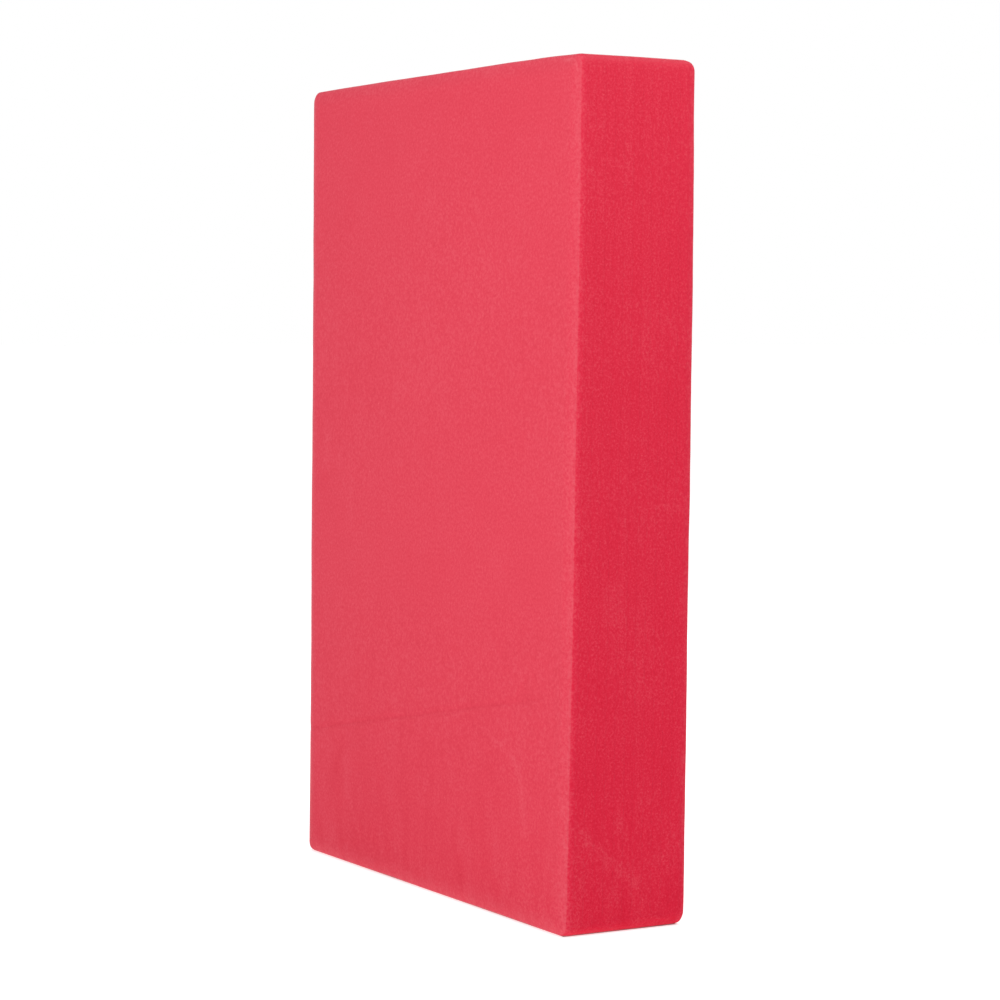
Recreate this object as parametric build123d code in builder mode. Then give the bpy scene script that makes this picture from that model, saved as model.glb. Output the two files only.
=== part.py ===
from build123d import *
import os

# A closed-cell foam exercise block, laminated from thin foam plies bonded face to face.
# It stands on one short end. X runs across its width, Y through its thickness, from the front
# face ply to the back face ply, and Z up its height. The origin is the centre of the end that
# it stands on. All sizes are in millimetres.

# Driving dimensions
BLOCK_WIDTH = 205.0
BLOCK_THICKNESS = 50.0
BLOCK_HEIGHT = 305.0
CORNER_RADIUS = 6.5  # at the four corners of the block's broad faces
EDGE_RADIUS = 3.0  # along the rim of each broad face
PLY_COUNT = 13
BOND_THICKNESS = 0.1  # the cured adhesive between two plies
BOND_SETBACK = 0.4  # how far the adhesive stops inside the foam's outline

# Worked out from them
BOND_COUNT = PLY_COUNT - 1
PLY_THICKNESS = (BLOCK_THICKNESS - BOND_COUNT * BOND_THICKNESS) / PLY_COUNT
LAYER_PITCH = PLY_THICKNESS + BOND_THICKNESS
FRONT_Y = -BLOCK_THICKNESS / 2


def layer_plane(back_y):
    """The plane across the block at back_y, with the block's width along its x and its height
    along its y. It faces the front, so a layer drawn on it is extruded forwards."""
    return Plane.XZ.offset(-back_y)


def write_piece(piece, name):
    """Label a finished piece and write it as its own STEP file."""
    piece.part.label = name
    export_step(piece.part, f"parts/{name}.step")


def make_core_ply(name, front_y):
    """A foam ply inside the block: a flat sheet with the block's outline."""
    with BuildPart() as ply:
        with BuildSketch(layer_plane(front_y + PLY_THICKNESS)):
            with Locations((0, BLOCK_HEIGHT / 2)):
                RectangleRounded(BLOCK_WIDTH, BLOCK_HEIGHT, CORNER_RADIUS)
        extrude(amount=PLY_THICKNESS)
    write_piece(ply, name)


def make_face_ply(name, front_y, outer_side):
    """One of the two outside plies. outer_side is 0 where its front face is the outer one and
    -1 where its back face is. The whole rim of the outer face is rounded over."""
    with BuildPart() as ply:
        with BuildSketch(layer_plane(front_y + PLY_THICKNESS)):
            with Locations((0, BLOCK_HEIGHT / 2)):
                RectangleRounded(BLOCK_WIDTH, BLOCK_HEIGHT, CORNER_RADIUS)
        extrude(amount=PLY_THICKNESS)
        outer_face = ply.faces().sort_by(Axis.Y)[outer_side]
        fillet(outer_face.edges(), radius=EDGE_RADIUS)
    write_piece(ply, name)


def make_bond_film(name, front_y):
    """The adhesive film that joins two plies, set back all round inside the foam's outline."""
    with BuildPart() as film:
        with BuildSketch(layer_plane(front_y + BOND_THICKNESS)):
            with Locations((0, BLOCK_HEIGHT / 2)):
                RectangleRounded(
                    BLOCK_WIDTH - 2 * BOND_SETBACK,
                    BLOCK_HEIGHT - 2 * BOND_SETBACK,
                    CORNER_RADIUS - BOND_SETBACK,
                )
        extrude(amount=BOND_THICKNESS)
    write_piece(film, name)


os.makedirs("parts", exist_ok=True)

# The two face plies close the stack at the front and at the back
make_face_ply("front_face_ply", FRONT_Y, outer_side=0)
make_face_ply("back_face_ply", FRONT_Y + (PLY_COUNT - 1) * LAYER_PITCH, outer_side=-1)

# Core plies fill the stack between them, numbered from the front with the front face ply as 1
for number in range(2, PLY_COUNT):
    make_core_ply(f"core_ply_{number:02d}", FRONT_Y + (number - 1) * LAYER_PITCH)

# One bond film lies behind each ply but the last
for number in range(1, BOND_COUNT + 1):
    make_bond_film(f"bond_film_{number:02d}", FRONT_Y + number * LAYER_PITCH - BOND_THICKNESS)
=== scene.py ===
import math

import bpy
import numpy as np
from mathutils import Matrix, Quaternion, Vector, noise


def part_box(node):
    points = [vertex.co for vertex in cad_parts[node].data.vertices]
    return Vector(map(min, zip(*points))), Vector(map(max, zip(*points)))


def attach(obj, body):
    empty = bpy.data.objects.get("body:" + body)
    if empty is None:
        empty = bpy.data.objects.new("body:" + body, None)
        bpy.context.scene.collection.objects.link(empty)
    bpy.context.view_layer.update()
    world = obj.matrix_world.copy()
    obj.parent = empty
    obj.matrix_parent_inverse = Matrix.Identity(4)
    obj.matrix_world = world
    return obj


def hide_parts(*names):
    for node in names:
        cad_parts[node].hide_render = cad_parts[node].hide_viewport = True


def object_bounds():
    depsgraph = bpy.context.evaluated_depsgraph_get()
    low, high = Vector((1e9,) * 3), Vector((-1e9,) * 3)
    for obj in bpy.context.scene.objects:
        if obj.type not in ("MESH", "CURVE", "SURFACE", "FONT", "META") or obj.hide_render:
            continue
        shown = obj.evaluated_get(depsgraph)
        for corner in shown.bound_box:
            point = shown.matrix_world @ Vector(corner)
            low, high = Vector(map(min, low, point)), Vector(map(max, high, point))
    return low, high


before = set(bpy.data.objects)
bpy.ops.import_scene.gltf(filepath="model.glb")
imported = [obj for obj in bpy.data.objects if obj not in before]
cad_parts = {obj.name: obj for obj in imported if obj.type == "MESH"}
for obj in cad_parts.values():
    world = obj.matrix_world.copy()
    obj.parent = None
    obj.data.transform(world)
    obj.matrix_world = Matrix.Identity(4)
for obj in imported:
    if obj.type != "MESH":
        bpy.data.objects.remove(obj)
cad_low, cad_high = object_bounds()

# A laminated foam exercise block, standing on one short end. Every foam ply and every film of
# adhesive is its own piece, in the place of the CAD node of the same name. X runs across the
# block's width, Y through its thickness from the front face to the back face, and Z up. Lengths
# are in metres. "Inset" is a distance inside the outline of the broad faces, and "depth" is a
# distance behind the plane of the front face.

MM = 0.001
BODY = "root"  # nothing moves on the block, so all of it is one body

WIDTH = cad_high.x - cad_low.x
THICKNESS = cad_high.y - cad_low.y
HEIGHT = cad_high.z - cad_low.z
FRONT_Y = cad_low.y
CORNER_RADIUS = 4.5 * MM  # of every ply's outline, tighter than the CAD model's

NODES = sorted(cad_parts, key=lambda node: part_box(node)[0].y)  # from the front to the back
PLIES = [node for node in NODES if "ply" in node]
FILMS = [node for node in NODES if "film" in node]
PLY_PITCH = THICKNESS / len(PLIES)

# How the foam's rims really run: the broad face and the narrow side both roll off gently
# towards each other, and meet in a soft crest
ROLL_WIDTH = 6.5 * MM  # inset at which the broad face starts to roll off
ROLL_DEPTH = 4.2 * MM  # depth at which the narrow side starts to roll off
CREST_INSET = 0.5 * MM
CREST_DEPTH = 1.2 * MM
FACE_SOFTNESS = 0.744 * MM  # how much of the broad face the crest's rounding takes
SIDE_SOFTNESS = 0.76 * MM  # and how much of the narrow side
CREST_STEPS = 7  # faces across the crest's rounding
SIDE_STEPS = 4  # faces across a ply's narrow side
LIP_RADIUS = 0.02 * MM  # of a ply's soft edge beside the adhesive
LIP_ANGLES = (15, 40, 65, 90)  # degrees that the edge has turned at its points
FILM_RECESS = 0.01 * MM  # how far the adhesive stops below the foam's surface

# How far the block is from a perfect one
BOW = 0.35 * MM  # its middle stands this far back from its ends
OUT_OF_SQUARE = 4.1 * MM  # its right side leans out by this much from bottom to top
TAPER = 2.5 * MM  # it is this much thicker at the bottom than at the top
CORNERS = (
    # side along x, end along z, how far the corner stands out at the front and at the back, and
    # how far the side and the end draw in beside it
    (-1, -1, 0.5 * MM, 0.5 * MM, 0.0, 0.0),
    (1, -1, 0.5 * MM, -0.85 * MM, 0.35 * MM, 0.0),
    (-1, 1, -0.15 * MM, -0.15 * MM, 0.25 * MM, 0.2 * MM),
    (1, 1, 0.1 * MM, -0.4 * MM, 0.0, 0.5 * MM),
)
CORNER_REACH = 0.5 * CORNER_RADIUS  # how far round its middle a corner stands out
SIDE_DRAW_IN_LENGTH = 6 * MM  # along the side, from the corner
END_DRAW_IN_LENGTH = 14 * MM  # along the end, from the corner
UNEVENNESS = ((60 * MM, 0.20 * MM), (17 * MM, 0.07 * MM))  # wavelength and size
CREST_UNEVENNESS = (7 * MM, 0.05 * MM)
UNEVENNESS_SEED = 2

# The broad faces' mesh
GRID_STEP = 1.2 * MM
FINE_STEP = 0.6 * MM  # where the crease runs
FINE_BAND = (46 * MM, 94 * MM)  # heights between which it does
RIM_STEPS = (0.25, 0.25, 0.3, 0.4, 0.5, 0.65, 0.8, 1.0)  # between the outermost lines, in mm
CORNER_ZONE = 12.0 * MM  # the rows and columns bend round a corner within this distance of it

# Marks of use. Places are (x, z) on the front face and (y, z) on the right side, and these and
# the widths and softnesses are all in mm.
CREASE = ((-104, 48.5), (83, 81))
CREASE_PRESS = 0.24 * MM  # how deep the strip above the crease is pressed in
CREASE_STRIP = 3.8  # width of that strip
CREASE_SOFTNESS = 0.13  # of the crease itself
CREASE_END_SOFTNESS = 2.0  # how gently it runs out at its right end
PRESS_MARK = ((63, 77), (76, 79), (76, 91))  # a pressed triangle beside that end
PRESS_MARK_DEPTH = 0.6  # as a share of the strip's
PRESS_MARK_SOFTNESS = 0.3
PRESS_SHADE = 0.9  # how strongly the foam is darkened where it is pressed: painted shade in the pressed strip
FRONT_SCUFFS = (
    # a line of places, half-width in mm, strength
    (((51, 63), (59, 62), (66, 58), (70, 53), (72.5, 45), (75, 33)), 1.6, 0.9),
    (((-67, 43), (-66, 29), (-59, 20), (-54, 13)), 1.6, 0.5),
    (((-87, 171), (-85, 155)), 2.6, 0.7),
    (((-65, 151), (-65, 137)), 1.5, 0.5),
    (((50, 128), (52, 124)), 4.5, 0.45),
    (((32, 257), (37, 251)), 1.2, 0.5),
    (((-25, 162), (-23, 160)), 2.2, 0.4),
    (((100.5, 299.5), (100, 301.5), (99, 302.5), (97.5, 303), (93, 303)), 0.45, 2.2),
)
FRONT_STAINS = (
    (((-70, 49), (-76, 36)), 2.2, 0.7),
    (((36, 32), (36, 27)), 2.5, 0.8),
    (((22, 25), (23, 20)), 2.4, 0.6),
    (((27, 16), (28, 10)), 3.0, 0.8),
    (((52, 10), (54, 8)), 3.0, 0.7),
    (((-83, 155), (-91, 148)), 3.2, 0.5),
)
SIDE_SCUFFS = (
    (((-18, 36), (-12, 30), (-3, 22), (4, 17)), 2.0, 0.8),
    (((-3, 40), (-3, 37)), 1.2, 0.7),
    (((-1, 35), (0, 32)), 1.0, 0.6),
    (((4, 96), (4, 86)), 7.5, 0.45),
    (((9, 149), (19, 149)), 0.8, 0.5),
)
SIDE_PATCH = ((-12, 108), (-4, 123), 0.45)  # a pale rectangle: two corners, strength
PATCH_SOFTNESS = 0.4
RIGHT_SIDE = WIDTH / 2 - 2 * MM  # points further right than this are on the right side

# How pale the foam is, and where, and the painted sheen and highlights added to its colour
CREST_PALE_REACH = 3.0 * MM  # the broad face is paler within about this distance of a crest
SIDE_PALE_REACH = 1.4 * MM  # and so is the narrow side within this distance
CREST_HIGHLIGHT_REACH = 0.32 * MM  # both carry a painted highlight line this close to it
CORNER_SHEEN_REACH = 1.5 * MM  # the narrow side has more painted sheen this close to a corner of the outline, too
RUB_HEIGHT = 60 * MM  # the faint upright rub marks near the floor reach about this high, and so does the painted shade there
FACE_LIMIT = 1.32 * MM  # depth to which the surface counts as the broad face
FACE_LIMIT_SOFTNESS = 0.1 * MM
# A painted sheen, a pale colour added to the foam's, covers the broad faces, with a strength
# of 1 in their middle. These say how it differs elsewhere.
CREST_HIGHLIGHT = 0.8  # a painted highlight: what a broad face has more of at its crest
NEAR_FLOOR_SHEEN = -0.35  # and at the floor, where it is less: painted shade, darker towards the floor
CREST_LINE_HIGHLIGHT = 1.2  # a painted highlight line: what the crest's own line has more of
SIDE_SHEEN = 0.3  # the narrow side's painted sheen at the top, falling to nothing at the floor, so it is paler at the top
CORNER_SHEEN = 0.75  # painted sheen that the narrow side has more of at the upper corners
CORNER_SHEEN_RISE = 1.5  # power of the height with which that grows from the floor up

# Colours of the foams and the adhesive, and of the painted sheen
FACE_RED = (0.660, 0.018, 0.050)
CORE_RED = (0.660, 0.0165, 0.0475)
SHEEN_PAINT_COLOR = (0.0, 0.0305, 0.031, 1)  # the painted sheen: added to the foam's colour where its strength is 1
ADHESIVE_REDS = ((0.64, 0.016, 0.047), (0.67, 0.026, 0.058))
TONE_SEED = 7  # of the plies' random differences in tone
MARK_SHADES = (
    # value that the mesh carries, how much paler the foam is where it is 1
    ("scuff", 0.15),
    # real stains, and painted shade where the front face is pressed
    ("stain", -0.16),
    # darker towards each bond between plies: painted shade in the groove there
    ("bond", -0.02),
    ("crest", 0.20),
    ("tone", 0.02),
)

# Camera, where someone looks at a block on a table from in front and to the right
CAMERA_AT = (0.976, -0.550, 0.211)
CAMERA_AIM = (0.004, 0.0032, 0.1464)
CAMERA_ROLL = 0.16  # degrees, clockwise as seen through it
LENS = 107.3  # mm
SENSOR = 36  # mm

TENT_SEEN = 1.0  # brightness of the white surroundings as the camera sees them
TENT_LIGHT = 0.07  # how much of it lights the block
FLOOR_REACH = 30.0  # half the floor's width
FLOOR_GLOW = 0.64  # the floor is lit from below
FLOOR_SHADE_GLOW = 0.08  # what is left of that under the block, a dark patch that is a painted contact shadow
FLOOR_SHADE_INSET = (2.9 * MM, 2.2 * MM, 0)  # how far inside the block's foot that begins
OVERHEAD_LIGHT = 1.8  # W/m2, from a broad ceiling panel
OVERHEAD_ANGLE = 40  # degrees that the panel spans
SOFTBOXES = (
    # name, place, size, power in watts
    ("key_softbox", (0.3, -0.75, 0.45), 0.5, 3.7),
    ("side_softbox", (0.45, 0.25, 0.6), 0.3, 1.42),
    ("back_softbox", (-0.7, 0.8, 0.6), 0.6, 3.5),
)


# ------------------------------------------------------------------ the perfect block's surface


def roll_off(distance, start, end, total):
    """How far a surface has dropped where it rolls off from start, by total at end."""
    return total * np.clip((start - distance) / (start - end), 0, None) ** 2


def face_drop(inset):
    """Depth of the broad face below its own plane at an inset."""
    return roll_off(inset, ROLL_WIDTH, CREST_INSET, CREST_DEPTH)


def side_drop(depth):
    """Inset of the narrow side at a depth. Both broad faces have the same rim."""
    return roll_off(np.minimum(depth, THICKNESS - depth), ROLL_DEPTH, CREST_DEPTH, CREST_INSET)


FACE_END = CREST_INSET + FACE_SOFTNESS  # inset at which the crest takes over
SIDE_START = CREST_DEPTH + SIDE_SOFTNESS  # depth at which it ends


def crest_section():
    """Pairs of inset and depth over the crest, from the broad face to the narrow side."""
    start = np.array((FACE_END, face_drop(FACE_END)))
    corner = np.array((CREST_INSET, CREST_DEPTH))
    end = np.array((side_drop(SIDE_START), SIDE_START))
    t = np.linspace(0, 1, CREST_STEPS + 1)[:, None]
    return (1 - t) ** 2 * start + 2 * t * (1 - t) * corner + t**2 * end


def lip_section(depth, inwards):
    """Pairs of inset and depth round the edge of a ply, from its narrow side to its flat face
    at this depth. inwards is 1 if the ply lies behind that face and -1 if before it."""
    turned = np.radians(LIP_ANGLES)
    inset = side_drop(depth) + LIP_RADIUS * (1 - np.cos(turned))
    return np.column_stack((inset, depth + inwards * LIP_RADIUS * (1 - np.sin(turned))))


def side_section(start, end):
    """Pairs of inset and depth along the narrow side."""
    depth = np.linspace(start, end, SIDE_STEPS + 1)
    return np.column_stack((side_drop(depth), depth))


def graded_lines(length, fine_band=None):
    """Places of rows or columns over a length, about its middle. They stand closer together
    at both ends and within the fine band."""
    rim = np.cumsum((0, *RIM_STEPS)) * MM
    inner = length / 2 - rim[-1]
    # where each run starts, and the step in it
    stops = [(-inner, GRID_STEP), (inner, None)]
    if fine_band is not None:
        stops[1:1] = [(fine_band[0], FINE_STEP), (fine_band[1], GRID_STEP)]
    runs = []
    for (low, step), (high, _) in zip(stops, stops[1:]):
        runs.append(np.linspace(low, high, round((high - low) / step) + 1)[:-1])
    return np.concatenate((rim[:-1] - length / 2, *runs, length / 2 - rim[::-1]))


GRID_X = graded_lines(WIDTH - 2 * FACE_END)
GRID_Z = graded_lines(HEIGHT - 2 * FACE_END, np.array(FINE_BAND) - HEIGHT / 2)


def bent_border(share):
    """How a border runs through a corner's zone: how far along, and how far it has dropped from
    its straight line, at shares of its length as far as the middle of the corner."""
    radius = CORNER_RADIUS - FACE_END
    straight = CORNER_ZONE - radius
    run = share * (straight + radius * math.pi / 4)
    turned = np.clip((run - straight) / radius, 0, None)
    return np.minimum(run, straight) + radius * np.sin(turned), radius * (1 - np.cos(turned))


def rounded_grid():
    """The places of the broad face's grid about its middle, as arrays of x and of z. In each
    corner's zone the grid is blended between its two bent borders (a Coons patch)."""
    x, z = np.meshgrid(GRID_X, GRID_Z)
    across = np.clip((np.abs(x) - GRID_X[-1]) / CORNER_ZONE + 1, 0, 1)
    up = np.clip((np.abs(z) - GRID_Z[-1]) / CORNER_ZONE + 1, 0, 1)
    along_x, drop_z = bent_border(across)
    along_z, drop_x = bent_border(up)
    middle, _ = bent_border(1)
    moved_x = across * (CORNER_ZONE - drop_x) + up * along_x - across * up * middle
    moved_z = up * (CORNER_ZONE - drop_z) + across * along_z - across * up * middle
    x += np.sign(x) * (moved_x - across * CORNER_ZONE)
    z += np.sign(z) * (moved_z - up * CORNER_ZONE)
    return x, z


FACE_X, FACE_Z = rounded_grid()
ROWS, COLUMNS = FACE_X.shape
INDEX = np.arange(ROWS * COLUMNS).reshape(ROWS, COLUMNS)
# the grid's border, anticlockwise as seen from the front, from its low corner on the left
BORDER = np.concatenate((INDEX[0, :-1], INDEX[:-1, -1], INDEX[-1, :0:-1], INDEX[:0:-1, 0]))
BORDER_X = FACE_X.ravel()[BORDER]
BORDER_Z = FACE_Z.ravel()[BORDER]
LOOP = len(BORDER)


def past_straight(x, z):
    """How far places are past the lines through the corner arcs' centres, along x and z."""
    return np.abs(x) - (WIDTH / 2 - CORNER_RADIUS), np.abs(z) - (HEIGHT / 2 - CORNER_RADIUS)


def inset_of(points):
    """Distance of points inside the rounded outline."""
    past_x, past_z = past_straight(points[:, 0], points[:, 2] - HEIGHT / 2)
    outside = np.hypot(np.maximum(past_x, 0), np.maximum(past_z, 0))
    return CORNER_RADIUS - outside - np.minimum(np.maximum(past_x, past_z), 0)


def ring(inset, depth):
    """One loop of points round the block at an inset and a depth."""
    past_x, past_z = np.maximum(past_straight(BORDER_X, BORDER_Z), 0)
    outwards = (FACE_END - inset) / np.hypot(past_x, past_z)
    x = BORDER_X + np.sign(BORDER_X) * past_x * outwards
    z = BORDER_Z + np.sign(BORDER_Z) * past_z * outwards
    return np.column_stack((x, np.full(LOOP, FRONT_Y + depth), z + HEIGHT / 2))


def joined_rings(first, count):
    """The faces between rings that lie one after another, each deeper than the last."""
    faces = []
    here = np.arange(LOOP)
    following = np.roll(here, -1)
    for start in first + LOOP * np.arange(count - 1):
        quads = (here, here + LOOP, following + LOOP, following)
        faces += (start + np.column_stack(quads)).tolist()
    return faces


def cap(first):
    """A flat face inside a ring, facing the front, made of strips from side to side so that it
    follows the ring where the block bows."""
    right = first + COLUMNS - 1 + np.arange(ROWS)
    left = first + (np.arange(LOOP, LOOP - ROWS, -1)) % LOOP
    strips = [[*range(first, first + COLUMNS), right[1], left[1]]]
    strips += np.column_stack((left[1:-2], right[1:-2], right[2:-1], left[2:-1])).tolist()
    strips.append([left[-2], right[-2], *range(right[-1], left[-1] + 1)])
    return strips


def reversed_faces(faces):
    """The same faces, facing the other way."""
    return [face[::-1] for face in faces]


# ------------------------------------------------------------------ marks of use


def distance_to_line(places, line):
    """Distance of places from a line through several points."""
    nearest = np.full(len(places), np.inf)
    for start, end in zip(np.array(line[:-1]), np.array(line[1:])):
        along = end - start
        share = np.clip((places - start) @ along / (along @ along), 0, 1)
        away = places - start - share[:, None] * along
        nearest = np.minimum(nearest, np.hypot(away[:, 0], away[:, 1]))
    return nearest


def strokes(places, marks):
    """Strength of a set of soft strokes at places, where the strongest one counts."""
    total = np.zeros(len(places))
    for line, half_width, strength in marks:
        fade = distance_to_line(places, line) / half_width
        total = np.maximum(total, strength * np.exp(-(fade**2)))
    return total


def soft_step(distance, softness):
    """1 well inside a border, 0 well outside it, where distance is counted inwards."""
    return 1 / (1 + np.exp(-distance / softness))


def inside_triangle(places, corners):
    """Distance of places inside a triangle whose corners run anticlockwise."""
    inside = np.full(len(places), np.inf)
    for start, end in zip(np.array(corners), np.roll(corners, -1, axis=0)):
        along = (end - start) / np.hypot(*(end - start))
        inside = np.minimum(inside, (places - start) @ np.array((-along[1], along[0])))
    return inside


def inside_rectangle(places, low, high):
    """Distance of places inside an upright rectangle."""
    low, high = np.array(low), np.array(high)
    return ((high - low) / 2 - np.abs(places - (low + high) / 2)).min(axis=1)


def crease_press(places):
    """How far the front face is pressed in at places, as a share of the full depth. The strip
    is deepest at the crease, its lower border, and rises to nothing above it."""
    start, end = np.array(CREASE)
    length = np.hypot(*(end - start))
    along = (end - start) / length
    above = (places - start) @ np.array((-along[1], along[0]))
    strip = soft_step(above, CREASE_SOFTNESS) * np.clip(1 - above / CREASE_STRIP, 0, 1) ** 2
    return strip * soft_step(length - (places - start) @ along, CREASE_END_SOFTNESS)


def front_marks(points):
    """Scuffs, soiling and painted shade where the face is pressed, and pressing of the front face at
    its points, 0 elsewhere.
    """
    on_face = points[:, 1] - FRONT_Y < CREST_DEPTH
    places = points[:, [0, 2]] / MM
    triangle = soft_step(inside_triangle(places, PRESS_MARK), PRESS_MARK_SOFTNESS)
    pressed = np.maximum(crease_press(places), PRESS_MARK_DEPTH * triangle)
    # real stains, and painted shade over the pressed strip and triangle
    stains_and_press_shade = np.maximum(strokes(places, FRONT_STAINS), PRESS_SHADE * pressed)
    return strokes(places, FRONT_SCUFFS) * on_face, stains_and_press_shade * on_face, pressed * on_face


def side_marks(points):
    """Scuffs of the narrow right side at its points, 0 elsewhere."""
    on_side = (points[:, 0] > RIGHT_SIDE) & (points[:, 1] - FRONT_Y > CREST_DEPTH)
    places = points[:, [1, 2]] / MM
    low, high, strength = SIDE_PATCH
    patch = strength * soft_step(inside_rectangle(places, low, high), PATCH_SOFTNESS)
    return np.maximum(strokes(places, SIDE_SCUFFS), patch) * on_side


# ------------------------------------------------------------------ the real block's surface


DIAGONAL = math.sqrt(0.5)  # how far a step of 1 towards a corner goes along x and along z


def nearer_depth(points):
    """Distance of points behind the plane of the nearer broad face."""
    depth = points[:, 1] - FRONT_Y
    return np.minimum(depth, THICKNESS - depth)


def crest_distance(points):
    """Distance of points from the crest of the nearer rim."""
    return np.hypot(inset_of(points) - CREST_INSET, nearer_depth(points) - CREST_DEPTH)


def corner_distance(points):
    """Distance of points from the middle of the nearest corner of the outline."""
    past_x, past_z = past_straight(points[:, 0], points[:, 2] - HEIGHT / 2)
    middle = CORNER_RADIUS * DIAGONAL
    return np.hypot(past_x - middle, past_z - middle)


def bond_nearness(points):
    """1 on a bond between two plies, falling evenly to 0 in the middle of a ply."""
    plies = (points[:, 1] - FRONT_Y) / PLY_PITCH
    return 1 - 2 * np.abs(plies - np.round(plies))


def wander(points, wavelength, size):
    """A smooth random shift for each point."""
    return size * np.array([noise.noise_vector(Vector(p)) for p in points / wavelength])


def shift_corners(points):
    """Moves each corner of the outline out or in, and draws in the side and end beside it."""
    from_front = 0.5 + points[:, 1] / THICKNESS
    cut_off = CORNER_RADIUS * (1 - DIAGONAL)  # what the rounding takes off a corner, along x and z
    for side, end, front_out, back_out, side_in, end_in in CORNERS:
        side_x = side * WIDTH / 2
        end_z = HEIGHT / 2 + end * HEIGHT / 2
        away = np.hypot(points[:, 0] - side_x + side * cut_off, points[:, 2] - end_z + end * cut_off)
        stand_out = front_out + (back_out - front_out) * from_front
        stand_out *= DIAGONAL * np.exp(-((away / CORNER_REACH) ** 2))
        points[:, 0] += side * stand_out
        points[:, 2] += end * stand_out
        from_end = np.abs(points[:, 2] - end_z) / SIDE_DRAW_IN_LENGTH
        from_side = np.abs(points[:, 0] - side_x) / END_DRAW_IN_LENGTH
        towards_side = np.clip(points[:, 0] / side_x, 0, 1)
        points[:, 0] -= side * side_in * towards_side * np.exp(-(from_end**2))
        towards_end = np.clip(end * (2 * points[:, 2] / HEIGHT - 1), 0, 1)
        points[:, 2] -= end * end_in * towards_end * np.exp(-(from_side**2))


def settle(points):
    """Moves points of the perfect block to where they are on the real one."""
    near_crest = np.exp(-((crest_distance(points) / CREST_DEPTH) ** 2))[:, None]
    from_middle = points[:, 2] / HEIGHT - 0.5
    moved = points.copy()
    moved[:, 1] += front_marks(points)[2] * CREASE_PRESS
    moved[:, 1] += BOW * (1 - (2 * from_middle) ** 2)
    moved[:, 0] += OUT_OF_SQUARE * from_middle * (0.5 + points[:, 0] / WIDTH)
    moved[:, 1] += TAPER * from_middle * (0.5 - points[:, 1] / THICKNESS)
    shift_corners(moved)
    for wavelength, size in UNEVENNESS:
        moved += wander(points, wavelength, size)
    moved += wander(points, *CREST_UNEVENNESS) * near_crest
    moved[:, 2] = np.maximum(moved[:, 2], 0)  # its weight keeps it flat on the floor
    return moved


# ------------------------------------------------------------------ materials


def add(tree, kind, inputs, output=0, **settings):
    """Adds a shader node, sets or links its inputs, and gives one of its outputs."""
    node = tree.nodes.new("ShaderNode" + kind)
    for key, value in settings.items():
        setattr(node, key, value)
    for key, value in inputs.items():
        if isinstance(value, bpy.types.NodeSocket):
            tree.links.new(value, node.inputs[key])
        else:
            node.inputs[key].default_value = value
    return node.outputs[output]


def times(tree, first, second):
    """The product of two sockets."""
    return add(tree, "Math", {0: first, 1: second}, operation="MULTIPLY")


def centred(tree, value):
    """A texture's value, which runs from 0 to 1, less its middle."""
    return add(tree, "Math", {0: value, 1: 0.5}, operation="SUBTRACT")


def weighted_sum(tree, start, parts):
    """Start plus each part's socket times its weight."""
    total = start
    for socket, weight in parts:
        total = add(tree, "Math", {0: socket, 1: weight, 2: total}, operation="MULTIPLY_ADD")
    return total


def color_ramp(tree, value, stops):
    """A colour that runs through stops of place and colour."""
    node = tree.nodes.new("ShaderNodeValToRGB")
    tree.links.new(value, node.inputs[0])
    elements = node.color_ramp.elements
    for _ in stops[2:]:
        elements.new(0.5)
    for element, (place, color) in zip(elements, stops):
        element.position = place
        element.color = (*color, 1)
    return node.outputs[0]


def texture(tree, kind, wavelength, output=0, stretch=None, **inputs):
    """A noise or Voronoi texture of this wavelength in the object's own space."""
    place = add(tree, "TexCoord", {}, output="Object")
    if stretch:
        place = add(tree, "Mapping", {"Vector": place, "Scale": stretch})
    settings = {"Scale": 1 / wavelength, **inputs}
    return add(tree, "Tex" + kind, {"Vector": place, **settings}, output)


def attribute(tree, name):
    """A value that the mesh carries."""
    return add(tree, "Attribute", {}, output="Fac", attribute_name=name)


def start_material(name):
    """A new material, with its node tree and its shader."""
    material = bpy.data.materials.new(name)
    material.use_nodes = True
    tree = material.node_tree
    return material, tree, tree.nodes["Principled BSDF"]


def set_bump(tree, shader, height, strength, distance):
    """Lets a height raise the shader's surface."""
    bump = add(tree, "Bump", {"Height": height, "Strength": strength, "Distance": distance})
    tree.links.new(bump, shader.inputs["Normal"])


def dust(tree, spacing, radius):
    """Specks of dust, about one in every cell of this spacing, of differing strength."""
    away = texture(tree, "Voronoi", spacing)
    edge = radius / spacing
    core = 0.3 * edge  # a speck is at its strongest within this
    speck = add(tree, "MapRange", {"Value": away, "From Min": edge, "From Max": core})
    cell_color = texture(tree, "Voronoi", spacing, output="Color")
    strength = add(tree, "SeparateColor", {"Color": cell_color})
    return times(tree, speck, strength)


def rub_marks(tree):
    """Upright streaks, where the mesh says that the foam is rubbed."""
    streaks = texture(tree, "Noise", 6 * MM, stretch=(1, 1, 0.3), Detail=3.0, Roughness=0.5)
    return times(tree, centred(tree, streaks), attribute(tree, "rub"))


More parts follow.
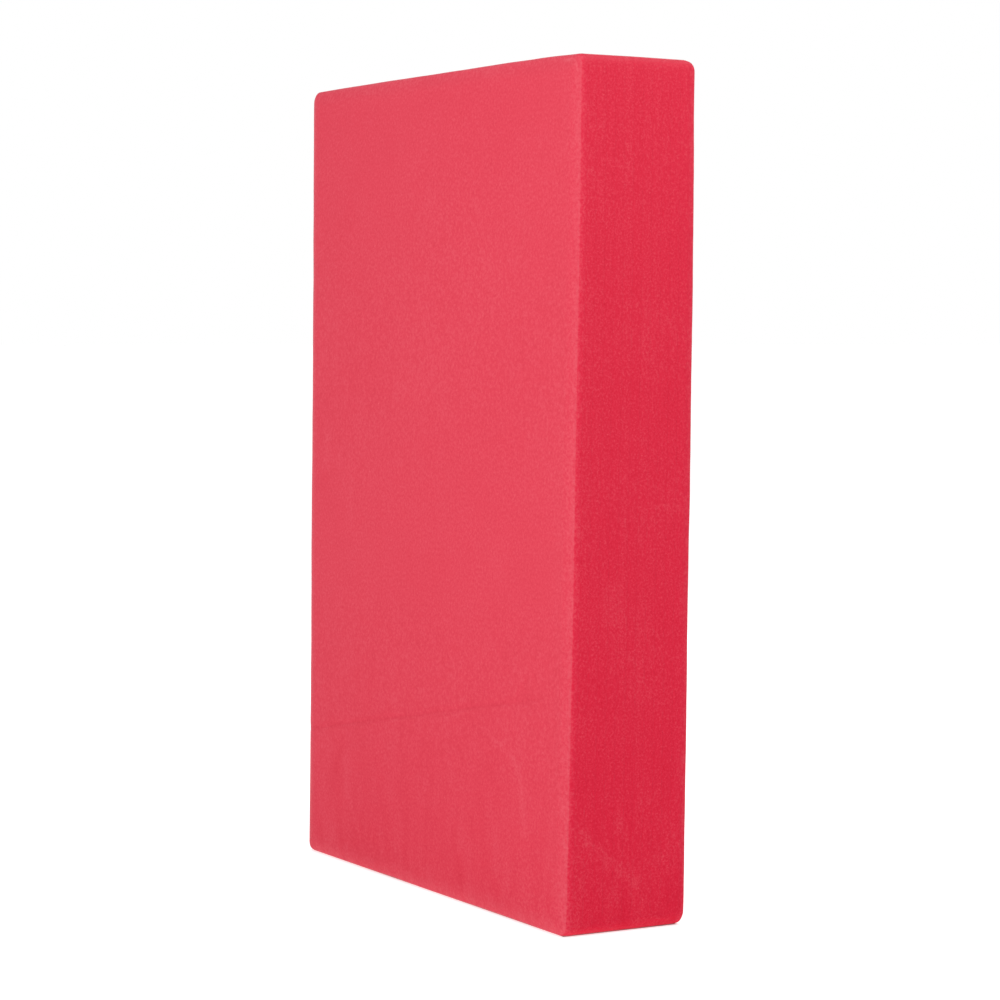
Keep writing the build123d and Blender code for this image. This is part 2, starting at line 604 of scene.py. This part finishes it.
def foam_color(tree, base, cells, fine, clouds, grain):
    """The foam's colour: its cells and grain, clouds and haze, dust, marks of use, and the painted
    sheen and highlights.
    """
    haze = texture(tree, "Noise", 40 * MM, Detail=2.0, Roughness=0.5)
    # 0 is the darkest the foam gets, 0.5 its own colour and 1 the palest
    shade = weighted_sum(tree, 0.5, (
        (centred(tree, cells), -0.25 * grain),
        (centred(tree, fine), 1.1 * grain),
        (centred(tree, clouds), 0.15),
        (centred(tree, haze), 0.15),
        (dust(tree, spacing=7 * MM, radius=0.35 * MM), 0.5),
        (rub_marks(tree), 0.5),
        *[(attribute(tree, name), weight) for name, weight in MARK_SHADES],
    ))
    # pits in the foam are a deeper red, and worn foam is closer to pink
    dark = (0.90 * base[0], 0.1 * base[1], 0.5 * base[2])
    pale = (1.07 * base[0], base[1] + 0.05, base[2] + 0.05)
    color = color_ramp(tree, shade, ((0, dark), (0.5, base), (1, pale)))
    factor, first, second = 0, 6, 7  # the Mix node's sockets for colours
    # painted sheen and highlights, added to the colour as a pale tint
    bloom = {factor: attribute(tree, "bloom"), first: color, second: SHEEN_PAINT_COLOR}
    return add(tree, "Mix", bloom, output=2, data_type="RGBA", blend_type="ADD")


def make_foam(name, base, cell_size, grain):
    """Matte closed-cell foam with fine cells, of this base colour."""
    material, tree, shader = start_material(name)
    cells = texture(tree, "Voronoi", cell_size)
    fine = texture(tree, "Noise", cell_size * 1.8, Detail=2.0, Roughness=0.6)
    clouds = texture(tree, "Noise", 9 * MM, Detail=4.0, Roughness=0.6)
    color = foam_color(tree, base, cells, fine, clouds, grain)
    tree.links.new(color, shader.inputs["Base Color"])
    rough = add(tree, "MapRange", {"Value": clouds, "To Min": 0.80, "To Max": 0.95})
    tree.links.new(rough, shader.inputs["Roughness"])
    height = weighted_sum(tree, 0.0, ((cells, -0.6), (fine, 1.0)))
    set_bump(tree, shader, height, strength=0.35, distance=0.12 * MM)
    shader.inputs["Specular IOR Level"].default_value = 0.12
    shader.inputs["Sheen Weight"].default_value = 0.30
    shader.inputs["Sheen Roughness"].default_value = 0.28
    shader.inputs["Sheen Tint"].default_value = (1.0, 0.92, 0.94, 1)
    return material


def make_adhesive(name):
    """Cured adhesive of about the foam's colour, a little smoother, with small lumps."""
    material, tree, shader = start_material(name)
    lumps = texture(tree, "Noise", 1.5 * MM, Detail=3.0, Roughness=0.6)
    color = color_ramp(tree, lumps, tuple(zip((0.3, 0.7), ADHESIVE_REDS)))
    tree.links.new(color, shader.inputs["Base Color"])
    set_bump(tree, shader, lumps, strength=0.3, distance=0.1 * MM)
    shader.inputs["Roughness"].default_value = 0.75
    shader.inputs["Specular IOR Level"].default_value = 0.15
    return material


def make_floor_paint(name, glow):
    """Plain matte white, with the slightest mottling, lit from below."""
    material, tree, shader = start_material(name)
    clouds = texture(tree, "Noise", 0.3, Detail=3.0)
    color = color_ramp(tree, clouds, ((0.3, (0.69, 0.69, 0.69)), (0.7, (0.71, 0.71, 0.71))))
    tree.links.new(color, shader.inputs["Base Color"])
    shader.inputs["Roughness"].default_value = 0.9
    shader.inputs["Specular IOR Level"].default_value = 0.1
    shader.inputs["Emission Color"].default_value = (1, 1, 1, 1)
    shader.inputs["Emission Strength"].default_value = glow
    return material


# the material of each slot
MATERIALS = {
    "foam_face": make_foam("red_foam_broad_face", FACE_RED, cell_size=0.6 * MM, grain=0.85),
    "foam_core": make_foam("red_foam_cut_side", CORE_RED, cell_size=0.45 * MM, grain=0.88),
    "bond_adhesive": make_adhesive("cured_red_adhesive"),
}


# ------------------------------------------------------------------ pieces


def depths(node):
    """The depths at which a CAD node begins and ends."""
    low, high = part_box(node)
    return low.y - FRONT_Y, high.y - FRONT_Y


def painted_sheen_of(points, on_face, crest, rub):
    """Strength of the painted sheen and highlights at points."""
    height = points[:, 2].clip(0) / HEIGHT
    corner = np.exp(-corner_distance(points) / CORNER_SHEEN_REACH)
    # a thin painted highlight along the crest
    crest_highlight_line = np.exp(-((crest_distance(points) / CREST_HIGHLIGHT_REACH) ** 2))
    face_sheen = 1 + CREST_HIGHLIGHT * crest + NEAR_FLOOR_SHEEN * rub
    # painted sheen on the narrow side, paler towards the top and towards the upper corners
    side_sheen = SIDE_SHEEN * height + CORNER_SHEEN * height**CORNER_SHEEN_RISE * corner
    # painted sheen on the broad faces and the narrow side, and a painted highlight line along the crest
    return on_face * face_sheen + (1 - on_face) * side_sheen + CREST_LINE_HIGHLIGHT * crest_highlight_line


def surface_values(points, tone):
    """What the foam's material reads from the mesh, as a value for each point."""
    scuffs, stain_and_shade_marks, _ = front_marks(points)
    on_face = soft_step(FACE_LIMIT - nearer_depth(points), FACE_LIMIT_SOFTNESS)
    pale_reach = SIDE_PALE_REACH + (CREST_PALE_REACH - SIDE_PALE_REACH) * on_face
    crest = np.exp(-crest_distance(points) / pale_reach)
    # near the floor: real upright rub marks, and less painted sheen, which is painted shade there
    rub = np.exp(-points[:, 2] / RUB_HEIGHT)
    return {
        "scuff": scuffs + side_marks(points),
        "stain": stain_and_shade_marks,
        # nearness to a bond, which darkens the rim: painted shade in the groove between plies
        "bond": bond_nearness(points) * (inset_of(points) < FACE_END),
        "crest": crest,
        "bloom": painted_sheen_of(points, on_face, crest, rub),
        "rub": rub,
        "tone": np.full(len(points), tone),
    }


def make_piece(node, suffix, points, faces, slot, tone=0.0):
    """Makes one piece that stands for a CAD node, from points of the perfect block."""
    mesh = bpy.data.meshes.new(node + suffix)
    mesh.from_pydata(settle(points).tolist(), [], faces)
    for name, values in surface_values(points, tone).items():
        mesh.attributes.new(name, "FLOAT", "POINT").data.foreach_set("value", values)
    mesh.shade_smooth()
    mesh.materials.append(MATERIALS[slot])
    piece = bpy.data.objects.new(node + suffix, mesh)
    bpy.context.scene.collection.objects.link(piece)
    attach(piece, BODY)
    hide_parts(node)
    return piece


def make_core_ply(node, tone):
    """A ply inside the block: its share of the narrow sides between two flat faces."""
    start, end = depths(node)
    section = np.vstack((
        lip_section(start, inwards=1)[::-1],
        side_section(start + 2 * LIP_RADIUS, end - 2 * LIP_RADIUS),
        lip_section(end, inwards=-1),
    ))
    points = np.vstack([ring(inset, depth) for inset, depth in section])
    last = len(points) - LOOP
    faces = cap(0) + joined_rings(0, len(section)) + reversed_faces(cap(last))
    piece = make_piece(node, "_foam", points, faces, "foam_core", tone)


def make_face_ply(node, tone):
    """An outside ply: the broad face, its rim over the crest, and a flat face against the
    adhesive. It is built at the front, and turned over for the back."""
    start, end = depths(node)
    thickness = end - start
    face = np.column_stack((FACE_X.ravel(), np.full(FACE_X.size, FRONT_Y), FACE_Z.ravel() + HEIGHT / 2))
    face[:, 1] += face_drop(inset_of(face))
    section = np.vstack((
        crest_section()[1:],
        side_section(SIDE_START, thickness - 2 * LIP_RADIUS)[1:],
        lip_section(thickness, inwards=-1),
    ))
    points = np.vstack((face, *[ring(inset, depth) for inset, depth in section]))
    quads = np.stack((INDEX[:-1, :-1], INDEX[:-1, 1:], INDEX[1:, 1:], INDEX[1:, :-1]), axis=-1)
    first_ring = len(face) + np.arange(LOOP)
    rim = (BORDER, first_ring, np.roll(first_ring, -1), np.roll(BORDER, -1))
    faces = quads.reshape(-1, 4).tolist() + np.column_stack(rim).tolist()
    faces += joined_rings(len(face), len(section)) + reversed_faces(cap(len(points) - LOOP))
    if start > THICKNESS / 2:
        points[:, 1] *= -1
        faces = reversed_faces(faces)
    piece = make_piece(node, "_foam", points, faces, "foam_face", tone)


def make_film(node):
    """The adhesive between two plies, which shows as a hairline between them."""
    start, end = depths(node)
    inset = side_drop((start + end) / 2) + FILM_RECESS
    points = np.vstack((ring(inset, start), ring(inset, end)))
    faces = cap(0) + joined_rings(0, 2) + reversed_faces(cap(LOOP))
    make_piece(node, "_glue", points, faces, "bond_adhesive")


# ------------------------------------------------------------------ surroundings


def make_floor():
    """A plain white floor, wide enough to reach the horizon in every view. It glows, but
    hardly in the middle, under the block: that dark patch is a painted contact shadow."""
    turns = np.array(((-1, -1, 0), (1, -1, 0), (1, 1, 0), (-1, 1, 0)))
    half_size = np.array((WIDTH / 2, THICKNESS / 2, 0))
    under = settle(turns * (half_size - FLOOR_SHADE_INSET))
    under[:, 2] = 0
    corners = np.vstack((turns * FLOOR_REACH, under))
    mesh = bpy.data.meshes.new("floor")
    # four round the block, and the one under it, a dark patch of painted contact shadow
    faces = [(0, 1, 5, 4), (1, 2, 6, 5), (2, 3, 7, 6), (3, 0, 4, 7), (4, 5, 6, 7)]
    mesh.from_pydata(corners.tolist(), [], faces)
    mesh.materials.append(make_floor_paint("white_floor", FLOOR_GLOW))
    # a dark, hardly glowing patch under the block: a painted contact shadow
    mesh.materials.append(make_floor_paint("floor_under_the_block", FLOOR_SHADE_GLOW))
    mesh.polygons[-1].material_index = 1
    floor = bpy.data.objects.new("floor", mesh)
    bpy.context.scene.collection.objects.link(floor)


def aim(thing, place, target, roll=0.0):
    """Puts a camera or light at a place and turns it towards a target."""
    thing.location = place
    towards = (Vector(target) - Vector(place)).to_track_quat("-Z", "Y")
    turn = towards @ Quaternion((0, 0, 1), math.radians(roll))
    thing.rotation_euler = turn.to_euler()


def make_camera():
    """The camera, at the angle from which the block is looked at."""
    data = bpy.data.cameras.new("camera")
    data.lens = LENS
    data.sensor_width = SENSOR
    camera = bpy.data.objects.new("camera", data)
    bpy.context.scene.collection.objects.link(camera)
    aim(camera, CAMERA_AT, CAMERA_AIM, CAMERA_ROLL)
    bpy.context.scene.camera = camera


def make_tent():
    """White surroundings, which the camera sees brighter than they light the block."""
    world = bpy.data.worlds.new("white_tent")
    world.use_nodes = True
    tree = world.node_tree
    background = tree.nodes["Background"]
    background.inputs["Color"].default_value = (1, 1, 1, 1)
    seen = add(tree, "LightPath", {}, output="Is Camera Ray")
    extra = {0: seen, 1: TENT_SEEN - TENT_LIGHT, 2: TENT_LIGHT}
    strength = add(tree, "Math", extra, operation="MULTIPLY_ADD")
    tree.links.new(strength, background.inputs["Strength"])
    bpy.context.scene.world = world


def make_lights():
    """A broad ceiling panel and the softboxes, which the camera doesn't see."""
    panel = bpy.data.lights.new("ceiling_panel", "SUN")
    panel.energy = OVERHEAD_LIGHT
    panel.angle = math.radians(OVERHEAD_ANGLE)
    bpy.context.scene.collection.objects.link(bpy.data.objects.new("ceiling_panel", panel))
    for name, place, size, power in SOFTBOXES:
        data = bpy.data.lights.new(name, "AREA")
        data.size = size
        data.energy = power
        light = bpy.data.objects.new(name, data)
        light.visible_camera = False
        bpy.context.scene.collection.objects.link(light)
        aim(light, place, (0, 0, HEIGHT / 2))


# ------------------------------------------------------------------ making it all

noise.seed_set(UNEVENNESS_SEED)
tones = np.random.default_rng(TONE_SEED).uniform(-1, 1, len(PLIES))
for ply, ply_tone in zip(PLIES, tones):
    if ply.startswith("core_ply"):
        make_core_ply(ply, ply_tone)
    else:
        make_face_ply(ply, ply_tone)
for film in FILMS:
    make_film(film)

make_floor()
make_camera()
make_tent()
make_lights()
bpy.context.scene.view_settings.view_transform = "Standard"

bpy.context.view_layer.update()
